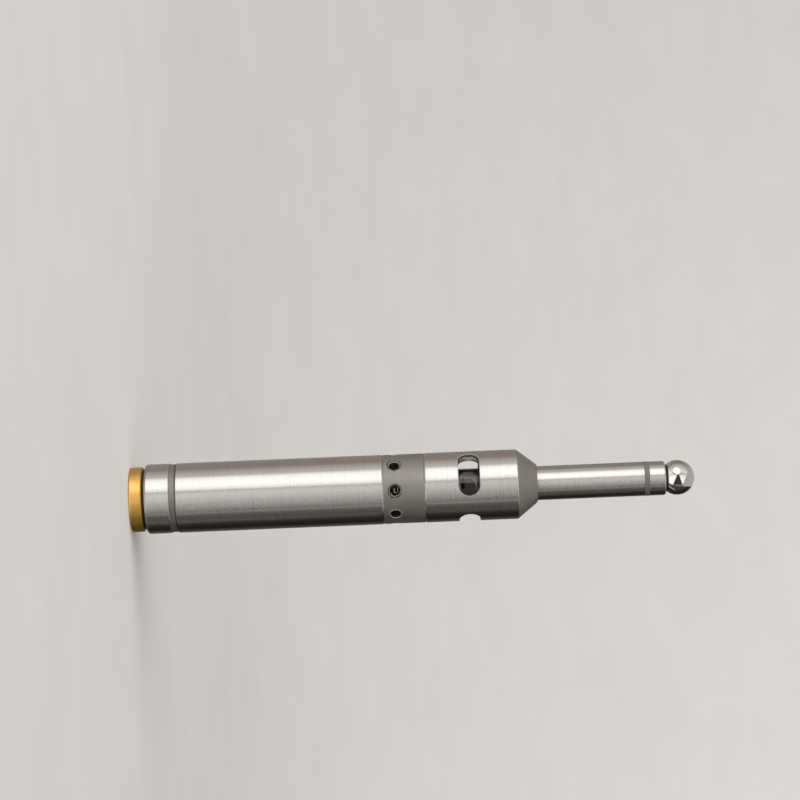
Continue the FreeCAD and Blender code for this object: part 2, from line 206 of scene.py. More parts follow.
def matt_steel(name, color, rough):
    """Blasted, satin grey steel with a very fine grain."""
    m = Mat(name, color, rough, 0.9)
    g = m.noise(m.mm(9, 9, 9), 1.0, 3.0, 0.65)
    big = m.noise(m.mm(0.35, 0.35, 0.35), 1.0, 3.0, 0.6)
    rub = m.noise(m.mm(0.25, 0.25, 3.5), 1.0, 3.0, 0.6)
    m.base(m.mix(m.add(m.add(g, big, 0.8), rub, 0.3), scaled(color, 0.84),
                 scaled(color, 1.14), 0.8, 1.3))
    m.roughness(m.range(big, rough - 0.05, rough + 0.06))
    m.bump(g, 0.35, 0.006)
    return m.m


mat_matt = matt_steel("matt_steel", (0.30, 0.285, 0.265), 0.58)
mat_cone = matt_steel("matt_cone", (0.29, 0.275, 0.255), 0.58)
mat_groove = matt_steel("matt_groove", (0.27, 0.255, 0.235), 0.6)


def machined(name, color, rough, metal=1.0):
    """Plain turned inner wall: regular tool marks."""
    m = Mat(name, color, rough, metal)
    f = m.noise(m.mm(0.08, 0.08, 5.0), 1.0, 3.0, 0.6)
    big = m.noise(m.mm(0.5, 0.5, 0.5), 1.0, 2.0, 0.5)
    m.base(m.mix(m.add(f, big, 0.5), scaled(color, 0.8), scaled(color, 1.1),
                 0.55, 0.95))
    m.roughness(m.range(f, rough * 0.8, rough * 1.2))
    m.bump(f, 0.5, 0.01)
    return m.m


mat_bore = machined("bore_steel", (0.33, 0.315, 0.30), 0.42)

# gold anodised cap
m = Mat("gold_anodised", (0.92, 0.55, 0.15), 0.42, 0.92)
f = m.noise(m.mm(0.05, 0.05, 6.0), 1.0, 4.0, 0.65)
bl = m.noise(m.mm(0.5, 0.5, 0.5), 1.0, 3.0, 0.6)
gr = m.noise(m.mm(7, 7, 7), 1.0, 2.0, 0.6)
m.base(m.mix(m.add(f, bl, 0.6), (0.84, 0.47, 0.115), (0.97, 0.60, 0.18), 0.6, 1.0))
m.roughness(m.range(m.add(f, gr, 0.6), 0.37, 0.48, 0.6, 1.0))
m.bump(m.add(f, gr, 0.4), 0.25, 0.004)
m.brushed(0.6)
mat_gold = m.m

# mirror-polished ball
m = Mat("polished_ball", (0.70, 0.69, 0.675), 0.055, 1.0)
s = m.noise(m.mm(1.4, 1.4, 1.4), 1.0, 4.0, 0.6)
sc = m.noise(m.mm(9, 9, 9), 1.0, 2.0, 0.6)
m.base(m.mix(s, (0.66, 0.65, 0.635), (0.72, 0.71, 0.70)))
m.roughness(m.range(s, 0.035, 0.085))
m.bump(m.add(s, sc, 0.3), 0.12, 0.0015)
mat_ball = m.m

# rubber ring
m = Mat("black_rubber", (0.018, 0.018, 0.018), 0.55)
g = m.noise(m.mm(10, 10, 10), 1.0, 3.0, 0.6)
m.base(m.mix(g, (0.012, 0.012, 0.012), (0.03, 0.029, 0.028)))
m.roughness(m.range(g, 0.45, 0.65))
m.bump(g, 0.3, 0.01)
mat_rubber = m.m


def plastic(name, color, rough, grain=0.25, vary=0.12, turned=False):
    m = Mat(name, color, rough)
    g = m.noise(m.mm(6, 6, 6), 1.0, 3.0, 0.6)
    if turned:
        g = m.add(g, m.noise(m.mm(0.08, 0.08, 8.0), 1.0, 3.0, 0.6), 1.0)
        m.base(m.mix(g, scaled(color, 1 - vary), scaled(color, 1 + vary), 0.8, 1.2))
        m.roughness(m.range(g, rough - 0.06, rough + 0.06, 0.8, 1.2))
    else:
        m.base(m.mix(g, scaled(color, 1 - vary), scaled(color, 1 + vary)))
        m.roughness(m.range(g, rough - 0.06, rough + 0.06))
    m.bump(g, grain, 0.005)
    return m.m


mat_ring = plastic("insulator_ring", (0.15, 0.16, 0.145), 0.5, turned=True)
mat_white = plastic("white_nylon", (0.62, 0.60, 0.55), 0.45)
mat_black = plastic("black_plastic", (0.022, 0.022, 0.024), 0.4)
mat_chip = plastic("dark_ceramic", (0.06, 0.055, 0.05), 0.5)
mat_board = plastic("green_board", (0.02, 0.11, 0.05), 0.35)
mat_red = plastic("red_insulation", (0.42, 0.03, 0.02), 0.35)


def wire_metal(name, color, rough):
    m = Mat(name, color, rough, 1.0)
    g = m.noise(m.mm(3, 3, 3), 1.0, 4.0, 0.65)
    m.base(m.mix(g, scaled(color, 0.8), scaled(color, 1.1)))
    m.roughness(m.range(g, rough * 0.7, rough * 1.4))
    m.bump(g, 0.2, 0.004)
    return m.m


mat_spring = wire_metal("spring_wire", (0.62, 0.58, 0.47), 0.22)
mat_brass = wire_metal("brass", (0.66, 0.50, 0.22), 0.3)
mat_tin = wire_metal("tinned_lead", (0.70, 0.69, 0.66), 0.2)

# cells: plain dark sleeve
m = Mat("cell_jacket", (0.05, 0.055, 0.06), 0.3)
g = m.noise(m.mm(2, 2, 0.6), 1.0, 3.0, 0.6)
m.base(m.mix(g, (0.04, 0.045, 0.05), (0.075, 0.08, 0.085)))
m.roughness(m.range(g, 0.24, 0.38))
m.bump(g, 0.15, 0.01)
mat_cell = m.m

# clear lamp
m = Mat("clear_epoxy", (0.97, 0.97, 0.96), 0.03, 0.0, Transmission_Weight=1.0,
        IOR=1.52)
g = m.noise(m.mm(1.1, 1.1, 1.1), 1.0, 2.0, 0.5)
m.roughness(m.range(g, 0.015, 0.06))
m.bump(g, 0.12, 0.01)
mat_lens = m.m


# =====================================================================
# mesh building
# =====================================================================
class Builder:
    """Collects points and faces; each face carries a shading group.  A group
    is None (flat), a function giving the exact normal at a point, or a
    string (faces of one string share averaged normals)."""

    def __init__(self):
        self.v = []
        self.key = {}
        self.f = []
        self.g = []
        self.m = []
        self.cn = {}

    def vert(self, p):
        k = (round(p[0] * 2e4), round(p[1] * 2e4), round(p[2] * 2e4))
        i = self.key.get(k)
        if i is None:
            i = len(self.v)
            self.key[k] = i
            self.v.append((p[0], p[1], p[2]))
        return i

    def face(self, pts, group=None, mat=0, nrm=None):
        ids, keep = [], []
        for q, p in enumerate(pts):
            i = self.vert(p)
            if not ids or (i != ids[-1] and i != ids[0]):
                ids.append(i)
                keep.append(q)
        if len(ids) >= 3:
            if nrm is not None:
                self.cn[len(self.f)] = [nrm[q] for q in keep]
            self.f.append(ids)
            self.g.append(group)
            self.m.append(mat)

    def build(self, name, mats):
        mesh = bpy.data.meshes.new(name)
        co = np.array(self.v, float)
        mesh.from_pydata([tuple(p * MM) for p in co], [], self.f)
        for mt in mats:
            mesh.materials.append(mt)
        fn = []
        acc = {}
        for fi, (ids, g) in enumerate(zip(self.f, self.g)):
            if fi in self.cn:
                fn.append(None)
                continue
            x_ = y_ = z_ = 0.0
            for i in range(len(ids)):
                a, c = self.v[ids[i]], self.v[ids[(i + 1) % len(ids)]]
                x_ += (a[1] - c[1]) * (a[2] + c[2])
                y_ += (a[2] - c[2]) * (a[0] + c[0])
                z_ += (a[0] - c[0]) * (a[1] + c[1])
            ln = math.sqrt(x_ * x_ + y_ * y_ + z_ * z_)
            n = np.array((x_, y_, z_))
            n_unit = n / ln if ln > 1e-12 else np.array((0, 0, 1.0))
            fn.append(n_unit)
            if isinstance(g, str):
                for i in ids:
                    a = acc.setdefault((g, i), np.zeros(3))
                    a += n
        normals = []
        for fi, (ids, g, n) in enumerate(zip(self.f, self.g, fn)):
            if fi in self.cn:
                normals.extend(self.cn[fi])
                continue
            for i in ids:
                if g is None:
                    normals.append(tuple(n))
                elif isinstance(g, str):
                    a = acc[(g, i)]
                    l = np.linalg.norm(a)
                    normals.append(tuple(a / l) if l > 1e-12 else tuple(n))
                else:
                    e = np.array(g(co[i]), float)
                    e /= max(np.linalg.norm(e), 1e-9)
                    if e @ n < 0:
                        e = -e
                    normals.append(tuple(e))
        for poly, mi in zip(mesh.polygons, self.m):
            poly.material_index = mi
            poly.use_smooth = True
        mesh.normals_split_custom_set(normals)
        mesh.update()
        o = bpy.data.objects.new(name, mesh)
        SC.collection.objects.link(o)
        return o


def ring_normal(nr, nz):
    def f(p):
        r = math.hypot(p[0], p[1])
        if r < 1e-9:
            return (0, 0, nz if abs(nz) > 1e-9 else 1)
        return (nr * p[0] / r, nr * p[1] / r, nz)
    return f


def round_corner(p0, p1, p2, rad, steps):
    """Replaces the corner p1 of an (r, z) outline with a fillet."""
    a = np.array(p0, float) - np.array(p1, float)
    b = np.array(p2, float) - np.array(p1, float)
    la, lb = np.linalg.norm(a), np.linalg.norm(b)
    a /= la
    b /= lb
    half = math.acos(max(-1, min(1, float(a @ b)))) / 2
    d = rad / math.tan(half)
    d = min(d, 0.49 * la, 0.49 * lb)
    rad = d * math.tan(half)
    s = np.array(p1) + a * d
    e = np.array(p1) + b * d
    bis = a + b
    bis /= np.linalg.norm(bis)
    c = np.array(p1) + bis * (rad / math.sin(half))
    out = []
    v0, v1 = s - c, e - c
    ang = math.atan2(v0[0] * v1[1] - v0[1] * v1[0], float(v0 @ v1))
    for i in range(steps + 1):
        t = ang * i / steps
        out.append(tuple(c + np.array((v0[0] * math.cos(t) - v0[1] * math.sin(t),
                                       v0[0] * math.sin(t) + v0[1] * math.cos(t)))))
    return out


def lathe(b, outline, seg=160, closed=True):
    """outline: list of dicts(p=(r, z), rad=fillet, mat=index of the wall that
    leaves this point).  Walls are smooth round the axis, crisp along it, and
    fillets are smooth."""
    pts = []
    n = len(outline)
    for i, o in enumerate(outline):
        rad = o.get("rad", 0)
        if rad > 0:
            prev, nxt = outline[i - 1]["p"], outline[(i + 1) % n]["p"]
            arc = round_corner(prev, o["p"], nxt, rad, o.get("steps", 4))
            for k, q in enumerate(arc):
                last = k == len(arc) - 1
                pts.append((q, o.get("mat", 0) if last else o.get("fmat", o.get("mat", 0)),
                            "flat" if last else "arc"))
        else:
            pts.append((o["p"], o.get("mat", 0), o.get("kind", "flat")))
    m = len(pts)
    rng = range(m if closed else m - 1)
    seg_n = []
    for i in range(m):
        p, q = pts[i][0], pts[(i + 1) % m][0]
        dr, dz = q[0] - p[0], q[1] - p[1]
        l = math.hypot(dr, dz) or 1
        seg_n.append((dz / l, -dr / l))
    cs = [(math.cos(2 * math.pi * k / seg), math.sin(2 * math.pi * k / seg))
          for k in range(seg)]
    for i in rng:
        (p, mat, kind) = pts[i]
        q = pts[(i + 1) % m][0]
        n0 = n1 = seg_n[i]
        if kind == "arc":
            pn = seg_n[i - 1]
            nn = seg_n[(i + 1) % m]
            n0 = (pn[0] + n0[0], pn[1] + n0[1])
            n1 = (nn[0] + n1[0], nn[1] + n1[1])
            # at the ends of a fillet take the neighbouring wall's own normal
            if pts[i - 1][2] != "arc":
                n0 = pn
            if pts[(i + 1) % m][2] != "arc":
                n1 = nn
        l0, l1 = math.hypot(*n0), math.hypot(*n1)
        for k in range(seg):
            c0, s0 = cs[k]
            c1, s1 = cs[(k + 1) % seg]
            b.face([(p[0] * c0, p[0] * s0, p[1]), (p[0] * c1, p[0] * s1, p[1]),
                    (q[0] * c1, q[0] * s1, q[1]), (q[0] * c0, q[0] * s0, q[1])],
                   None, mat,
                   [(n0[0] * c0 / l0, n0[0] * s0 / l0, n0[1] / l0),
                    (n0[0] * c1 / l0, n0[0] * s1 / l0, n0[1] / l0),
                    (n1[0] * c1 / l1, n1[0] * s1 / l1, n1[1] / l1),
                    (n1[0] * c0 / l1, n1[0] * s0 / l1, n1[1] / l1)])


def P(r, z, rad=0.0, mat=0, **k):
    return dict(p=(r, z), rad=rad, mat=mat, **k)


def around(phi, r, z):
    a = math.radians(phi)
    return (r * math.sin(a), -r * math.cos(a), z)


def radial(sign=1.0):
    def f(p):
        return (sign * p[0], sign * p[1], 0)
    return f


def holed_wall(b, R, z0, z1, loops, seam, step_deg, step_z, group, mat, flip=False):
    """Cylinder wall of radius R between z0 and z1 with holes cut by loops of
    (phi, z).  Meshed flat in (phi, z), then wrapped."""
    cols = int(round(360.0 / step_deg))
    rows = max(1, int(round((z1 - z0) / step_z)))
    k = math.radians(1) * R
    pts, edges = [], []
    holes = []
    for lp in loops:
        h = []
        for phi, z in lp:
            q = (phi - seam) % 360.0
            h.append((q * k, z))
        holes.append(np.array(h))
    def clear(x, z):
        for h in holes:
            if (h[:, 0].min() - 0.4 < x < h[:, 0].max() + 0.4
                    and h[:, 1].min() - 0.4 < z < h[:, 1].max() + 0.4):
                d = np.hypot(h[:, 0] - x, h[:, 1] - z).min()
                if d < 0.22 or inside(h, x, z):
                    return False
        return True
    def inside(h, x, z):
        c = False
        n = len(h)
        for i in range(n):
            x0, z0_ = h[i]
            x1, z1_ = h[(i + 1) % n]
            if (z0_ > z) != (z1_ > z):
                if x < (x1 - x0) * (z - z0_) / (z1_ - z0_) + x0:
                    c = not c
        return c
    idx = {}
    for j in range(rows + 1):
        z = z0 + (z1 - z0) * j / rows
        for i in range(cols + 1):
            x = 360.0 * i / cols * k
            if j in (0, rows) or i in (0, cols) or clear(x, z):
                idx[(i, j)] = len(pts)
                pts.append(Vector((x, z)))
    border = [(idx[(i, j)], idx[(i + 1, j)])
              for i in range(cols) for j in (0, rows)]
    edges += border
    for h in holes:
        s = len(pts)
        n = len(h)
        pts += [Vector((float(x), float(z))) for x, z in h]
        edges += [(s + i, s + (i + 1) % n) for i in range(n)]
    vs, es, fs, *_ = delaunay_2d_cdt(pts, edges, [], 0, 1e-7)
    for f in fs:
        cx = sum(vs[i].x for i in f) / len(f)
        cz = sum(vs[i].y for i in f) / len(f)
        if any(h[:, 0].min() < cx < h[:, 0].max() and inside(h, cx, cz)
               for h in holes):
            continue
        tri = []
        for i in f:
            phi = vs[i].x / k
            if phi > 359.9999:
                phi = 0.0
            tri.append(around(phi + seam, R, vs[i].y))
        a, c, d = (np.array(t) for t in tri[:3])
        n = np.cross(c - a, d - a)
        outward = n @ np.array((a[0], a[1], 0)) > 0
        if outward == flip:
            tri.reverse()
        b.face(tri, group, mat)


def loft(b, rings, group, mat):
    """Walls between successive closed rings of points."""
    for r0, r1 in zip(rings, rings[1:]):
        n = len(r0)
        for i in range(n):
            j = (i + 1) % n
            b.face([r0[i], r0[j], r1[j], r1[i]], group, mat)


def sweep(b, path, radius, seg=14, group="sweep", mat=0, closed=False):
    """Round wire along a list of points, capped with domes."""
    pts = [Vector(p) for p in path]
    n = len(pts)
    tan = []
    for i in range(n):
        a = pts[i - 1] if (i > 0 or closed) else pts[i]
        c = pts[(i + 1) % n] if (i < n - 1 or closed) else pts[i]
        tan.append((c - a).normalized())
    nrm = tan[0].orthogonal().normalized()
    rings = []
    for i in range(n):
        nrm = (nrm - tan[i] * nrm.dot(tan[i])).normalized()
        bi = tan[i].cross(nrm)
        rings.append([tuple(pts[i] + nrm * (radius * math.cos(t))
                            + bi * (radius * math.sin(t)))
                      for t in (2 * math.pi * k / seg for k in range(seg))])
    if closed:
        rings.append(rings[0])
    else:
        def dome(i, d):
            out = []
            for k in (1, 2, 3):
                a = math.radians(k * 25)
                c = pts[i] + d * (radius * 0.5 * math.sin(a))
                out.append([tuple(c + (Vector(q) - pts[i]) * math.cos(a))
                            for q in rings[0 if i == 0 else -1]])
            return out
        head = list(reversed(dome(0, -tan[0])))
        tail = dome(n - 1, tan[-1])
        rings = head + rings + tail
        b.face(list(reversed(rings[0])), group, mat)
        b.face(rings[-1], group, mat)
    loft(b, rings, group, mat)


made = []


def finish_piece(b, name, mats, body, slot, *nodes):
    o = b.build(name, mats)
    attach(o, body)
    if nodes:
        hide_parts(*nodes)
    made.append(o)
    return o


# ------------------------------------------------------------ shank tube
b = Builder()
lathe(b, [
    P(8.05, 4.5, 0.0, 1), P(9.45, 4.5, 0.06, 0), P(10.0, 5.05, 0.12, 0),
    P(10.0, 11.43, 0.0, 0), P(9.88, 11.55, 0.0, 1), P(9.73, 11.6, 0.0, 1),
    # the undercut at the groove's right end (wall 3) is painted shade
    P(9.72, 13.15, 0.0, 3), P(9.64, 13.3, 0.0, 3),
    P(9.72, 13.48, 0.0, 0), P(9.88, 13.5, 0.0, 0), P(10.0, 13.62, 0.0, 0),
    P(10.0, 72.38, 0.1, 0), P(9.76, 72.7, 0.08, 0), P(8.0, 72.7, 0, 2),
    P(8.0, 64.5, 0, 2), P(6.4, 64.5, 0, 2), P(6.4, 11.2, 0, 2),
    P(7.55, 11.2, 0, 2), P(7.55, 5.0, 0, 2)], 180)
# near-black steel used as painted shade: the groove's undercut, and the seat collar's front face and
# seat cone
mat_painted_shade = matt_steel("painted_shade_steel", (0.09, 0.085, 0.078), 0.6)
finish_piece(b, "shank_body", [mat_ground, mat_groove, mat_bore, mat_painted_shade], "housing",
             "ground_steel", "shank_tube")

# ------------------------------------------------- band with sound holes
b = Builder()
BR, HZ = 9.93, 76.05
NSEG = 48
loops, walls = [], []
for kk in range(8):
    phi0 = 2.5 + 45.0 * kk
    lp = []
    rings = [[] for _ in range(7)]
    for t in range(NSEG):
        a = 2 * math.pi * t / NSEG
        lp.append((phi0 + math.degrees(math.asin(1.72 * math.cos(a) / BR)),
                   HZ + 1.72 * math.sin(a)))
        for q, (rh, dr) in enumerate(((1.72, 0.0), (1.69, 0.02), (1.64, 0.07),
                                      (1.60, 0.15), (1.565, 0.22), (1.56, 0.3))):
            s = rh * math.cos(a)
            R = BR - dr
            x = math.sqrt(R * R - s * s)
            ph = phi0 + math.degrees(math.atan2(s, x))
            rings[q].append(around(ph, R, HZ + rh * math.sin(a)))
        s = 1.56 * math.cos(a)
        ph = phi0 + math.degrees(math.asin(s / 6.6))
        rings[6].append(around(ph, 6.6, HZ + 1.56 * math.sin(a)))
    loops.append(lp)
    walls.append(rings)
holed_wall(b, BR, 72.95, 84.35, loops, 2.5 + 22.5, 2.5, 0.9, radial(), 0)
inner_loops = [[(2.5 + 45 * kk + math.degrees(math.asin(
    1.56 * math.cos(2 * math.pi * t / NSEG) / 6.6)),
    HZ + 1.56 * math.sin(2 * math.pi * t / NSEG)) for t in range(NSEG)]
    for kk in range(8)]
holed_wall(b, 6.6, 65.0, 90.0, inner_loops, 2.5 + 22.5, 2.5, 1.2, radial(-1), 2,
           flip=True)
for i, rings in enumerate(walls):
    # hole rims: broken edges whose lighter grey is a painted highlight
    loft(b, [list(reversed(r)) for r in rings[:6]], "rim%d" % i, 1)
    loft(b, [list(reversed(r)) for r in rings[5:]], "hole%d" % i, 2)
lathe(b, [P(BR, 84.35, 0, 0), P(9.81, 84.6, 0, 0), P(8.45, 84.6, 0, 2),
          P(8.45, 90.0, 0, 2), P(6.6, 90.0)], 144, closed=False)
lathe(b, [P(6.6, 65.0, 0, 2), P(7.95, 65.0, 0, 2), P(7.95, 72.7, 0, 2),
          P(9.81, 72.7, 0, 0), P(BR, 72.95, 0, 0)], 144, closed=False)
# rounded broken edge of the holes and slots: a light diffuse grey that paints the edge highlight
mat_rim_highlight = plastic("edge_painted_highlight", (0.40, 0.385, 0.36), 0.55)
finish_piece(b, "sound_band", [mat_matt, mat_rim_highlight, mat_bore], "housing",
             "matt_steel", "vent_sleeve")

# --------------------------------------------------------- front housing
b = Builder()
SZ, HW = 97.3, 3.0
ARC = 40.8 - math.degrees(math.asin(3.0 / 10.0))


def slot_ring(phi0, R, half, n=28):
    out = []
    for t in range(n + 1):                       # +phi end
        a = -math.pi / 2 + math.pi * t / n
        s = half * math.cos(a)
        out.append((phi0 + ARC + math.degrees(math.asin(s / R)),
                    SZ + half * math.sin(a)))
    m_ = 18
    for t in range(1, m_):                       # straight side, +z
        out.append((phi0 + ARC - 2 * ARC * t / m_, SZ + half))
    for t in range(n + 1):                       # -phi end
        a = math.pi / 2 + math.pi * t / n
        s = half * math.cos(a)
        out.append((phi0 - ARC + math.degrees(math.asin(s / R)),
                    SZ + half * math.sin(a)))
    for t in range(1, m_):
        out.append((phi0 - ARC + 2 * ARC * t / m_, SZ - half))
    return out


loops_o, loops_i = [], []
for kk in range(3):
    ph0 = -24.6 + 120.0 * kk
    steps = ((3.16, 10.0), (3.13, 9.985), (3.07, 9.945), (3.02, 9.89), (3.0, 9.82),
             (3.0, 9.7))
    rings = [[around(p, R, z) for p, z in slot_ring(ph0, R, h)] for h, R in steps]
    loops_o.append(slot_ring(ph0, 10.0, 3.16))
    loops_i.append(slot_ring(ph0, 7.5, 3.0))
    inner = [around(p, 7.5, z) for p, z in loops_i[-1]]
    # slot rims: broken edges whose lighter grey is a painted highlight
    loft(b, [list(reversed(r)) for r in rings], "slotrim%d" % kk, 1)
    loft(b, [list(reversed(r)) for r in (rings[-1], inner)], "slotwall%d" % kk, 3)
holed_wall(b, 10.0, 84.92, 111.1, loops_o, -84.6, 2.5, 0.9, radial(), 0)
holed_wall(b, 7.5, 90.5, 106.5, loops_i, -84.6, 2.5, 0.9, radial(-1), 3, flip=True)
CONE_A = (116.78 - 111.26), (9.92 - 5.55)
lathe(b, [P(10.0, 111.1, 0, 0), P(9.92, 111.26, 0, 2), P(5.55, 116.78, 0, 2),
          P(5.41, 116.9, 0, 2), P(4.92, 116.9, 0, 3), P(4.92, 106.5, 0, 3),
          P(7.5, 106.5)], 144, closed=False)
lathe(b, [P(7.5, 90.5, 0, 3), P(8.48, 90.5, 0, 3), P(8.48, 84.6, 0, 3),
          P(9.76, 84.6, 0, 0), P(10.0, 84.92)], 144, closed=False)
finish_piece(b, "lamp_housing", [mat_polish, mat_rim_highlight, mat_cone, mat_bore],
             "housing", "ground_steel", "front_housing")

# -------------------------------------------------------------- nose
b = Builder()
lathe(b, [P(3.5, 107.0, 0, 1), P(4.6, 107.0, 0, 1), P(4.9, 107.3, 0.05, 0),
          P(4.9, 147.65, 0.04, 0), P(4.8, 147.75, 0.0, 1), P(3.5, 147.75, 0, 1)], 128)
finish_piece(b, "nose_body", [mat_polish, mat_bore], "housing", "ground_steel",
             "nose_tube")

b = Builder()
lathe(b, [P(2.6, 142.4), P(3.47, 142.4), P(3.47, 147.75), P(4.93, 147.75, 0.08),
          P(4.93, 149.1, 0.08), P(3.45, 149.1), P(3.45, 151.0), P(2.6, 151.0)], 128)
finish_piece(b, "insulating_collar", [mat_ring], "housing", "insulator",
             "insulating_bush")

b = Builder()
lathe(b, [P(3.48, 149.1, 0, 1), P(4.8, 149.1, 0, 0), P(4.9, 149.2, 0.05, 0),
          # front face and seat cone (wall 2) are painted shade
          P(4.9, 153.42, 0.12, 0), P(4.6, 153.77, 0.05, 2), P(3.69, 153.77, 0.03, 2),
          P(3.54, 153.695, 0, 2), P(2.62, 152.775, 0, 1), P(2.62, 151.05, 0, 1),
          P(3.48, 151.05, 0, 1)], 128)
finish_piece(b, "seat_collar", [mat_seat, mat_bore, mat_painted_shade], "housing", "ground_steel",
             "ball_seat")

# -------------------------------------------------------------- ball
b = Builder()
NB, NR = 128, 88
r0 = 0.91
t_start = math.asin(r0 / 5.0)
prof = []
for i in range(NR + 1):
    t = t_start + (math.pi - t_start) * i / NR
    prof.append((5.0 * math.sin(t), 157.3 - 5.0 * math.cos(t)))
def ball_n(p):
    return (p[0], p[1], p[2] - 157.3)
for (ra, za), (rb, zb) in zip(prof, prof[1:]):
    for k in range(NB):
        a0, a1 = 2 * math.pi * k / NB, 2 * math.pi * (k + 1) / NB
        b.face([(ra * math.cos(a0), ra * math.sin(a0), za),
                (ra * math.cos(a1), ra * math.sin(a1), za),
                (rb * math.cos(a1), rb * math.sin(a1), zb),
                (rb * math.cos(a0), rb * math.sin(a0), zb)], ball_n, 0)
lathe(b, [P(0, 158.3, 0, 1), P(r0, 158.3, 0, 1), P(r0, prof[0][1])], NB, closed=False)
finish_piece(b, "ball", [mat_ball, mat_bore], "ball", "polished_ball", "probe_ball")

# -------------------------------------------------------------- cap
b = Builder()
NT = 96
lathe(b, [P(0, 0, 0, 0), P(9.3, 0, 0.55, 0, steps=8), P(9.3, 3.4, 0.12, 0),
          P(9.0, 3.7, 0.1, 0), P(7.2, 3.7, 0, 0), P(7.2, 4.8, 0, 0)], NT, closed=False)
# thread M15 x 1: one start, right-handed, rounded crests
PITCH, MAJ, MIN = 1.0, 7.5, 6.9
TZ0, TZ1 = 5.0, 9.7
rows = int((TZ1 - TZ0) / PITCH * 14)
grid = []
for j in range(rows + 1):
    z = TZ0 + (TZ1 - TZ0) * j / rows
    ring_ = []
    for k in range(NT):
        a = 2 * math.pi * k / NT
        ph = ((z / PITCH) - k / NT) % 1.0
        tri = 1 - abs(2 * ph - 1)
        h = min(1.0, max(0.0, tri * 1.35 - 0.17))
        env = min(1.0, (z - TZ0) / 0.5, (TZ1 - z) / 0.5)
        r = MIN + (MAJ - MIN) * h * max(env, 0.0)
        ring_.append((r * math.cos(a), r * math.sin(a), z))
    grid.append(ring_)
low = [(7.2 * math.cos(2 * math.pi * k / NT), 7.2 * math.sin(2 * math.pi * k / NT), 4.8)
       for k in range(NT)]
loft(b, [low] + grid, "thread", 0)
lathe(b, [P(6.9, 9.7, 0, 0), P(6.9, 10.2, 0.15, 0), P(5.3, 10.2, 0, 0),
          P(5.0, 9.9, 0, 0), P(5.0, 4.0, 0, 0), P(0, 4.0)], NT, closed=False)
finish_piece(b, "battery_cap", [mat_gold], "cap", "gold_anodised", "end_cap")

# ------------------------------------------------------ sealing ring
b = Builder()
lathe(b, [P(7.3, 3.74, 0.08), P(8.3, 3.74, 0.0, kind="arc")] +
      [P(8.3 + 0.3 * math.sin(math.pi * i / 8),
         4.1 - 0.36 * math.cos(math.pi * i / 8), kind="arc")
       for i in range(1, 8)] + [P(8.3, 4.46), P(7.3, 4.46, 0.08)], 96)
finish_piece(b, "seal_ring", [mat_rubber], "cap_seal", "black_rubber", "cap_o_ring")

# -------------------------------------------- front contact coil
b = Builder()
path = []
Z_TOP, Z_BOT, TURNS = 77.62, 71.78, 4.6
for i in range(int(TURNS * 40) + 1):
    t = i / (TURNS * 40)
    z = Z_TOP - (Z_TOP - Z_BOT) * (t + 0.12 * math.sin(2 * math.pi * t) * -1 / (2 * math.pi))
    r = 5.15 - 2.1 * t
    a = 2 * math.pi * TURNS * t + 0.6
    path.append((r * math.cos(a), r * math.sin(a), z))
sweep(b, path, 0.35, 12)
finish_piece(b, "contact_coil", [mat_spring], "housing", "spring_wire",
             "front_contact_spring")

# ------------------------------------------------------------- lamp
b = Builder()
lz = 92.0
prof = [P(0, lz, 0, 0), P(5.5, lz, 0.1, 0), P(5.5, lz + 0.9, 0.12, 0),
        P(5.05, lz + 1.0, 0.05, 0), P(5.0, lz + 1.15, 0, 0),
        P(5.0, lz + 8.5, 0, 0, kind="arc")]
for i in range(1, 16):
    t = math.radians(6 * i)
    prof.append(P(5 * math.cos(t) if i < 15 else 0.0, lz + 8.5 + 5 * math.sin(t),
                  kind="arc" if i < 15 else "flat"))
lathe(b, prof, 96, closed=False)
finish_piece(b, "lamp_lens", [mat_lens], "housing", "clear_epoxy", "led_lens")

# ------------------------------------------------- carried-over CAD nodes
carry = {
    "cap_contact_spring": mat_spring, "battery_rear": mat_cell,
    "battery_front": mat_cell, "contact_board": mat_board,
    "circuit_board": mat_board, "board_pins": mat_brass, "buzzer": mat_black,
    "board_transistor": mat_black, "board_resistors": mat_chip,
    "board_capacitor": mat_chip, "led_leadframe": mat_tin,
    "led_holder": mat_black, "anchor_plug": mat_white, "anchor_hook": mat_brass,
    "insulating_liner": mat_white, "tension_spring": mat_spring,
    "ball_stem": mat_seat, "signal_lead": mat_red}
for name, mt in carry.items():
    o = NODES[name]
    if len(o.material_slots) == 0:
        o.data.materials.append(mt)
    for s_ in o.material_slots:
        s_.material = mt

# =====================================================================
# stage: one pale bowl, seen only by the camera and by its own light
# =====================================================================
b = Builder()
prof = [(0.0, 0.0)]
for r in (60, 150, 300):
    prof.append((r, 0.0))
for i in range(1, 25):
    t = math.radians(90 * i / 24)
    prof.append((300 + 1200 * math.sin(t), 1200 * (1 - math.cos(t))))
prof += [(1500, 2000), (1500, 3000)]
for (ra, za), (rb, zb) in zip(prof, prof[1:]):
    for k in range(96):
        a0, a1 = 2 * math.pi * k / 96, 2 * math.pi * (k + 1) / 96
        b.face([(ra * math.cos(a0), ra * math.sin(a0), za),
                (rb * math.cos(a0), rb * math.sin(a0), zb),
                (rb * math.cos(a1), rb * math.sin(a1), zb),
                (ra * math.cos(a1), ra * math.sin(a1), za)], "bowl", 0)
m = Mat("pale_sweep", (0.72, 0.715, 0.70), 0.8)
g = m.noise(m.mm(0.02, 0.02, 0.02), 1.0, 3.0, 0.6)
m.base(m.mix(g, (0.775, 0.77, 0.76), (0.80, 0.795, 0.785)))
floor = b.build("floor", [m.m])
for attr in ("visible_glossy", "visible_diffuse", "visible_transmission",
             "visible_shadow"):
    setattr(floor, attr, False)

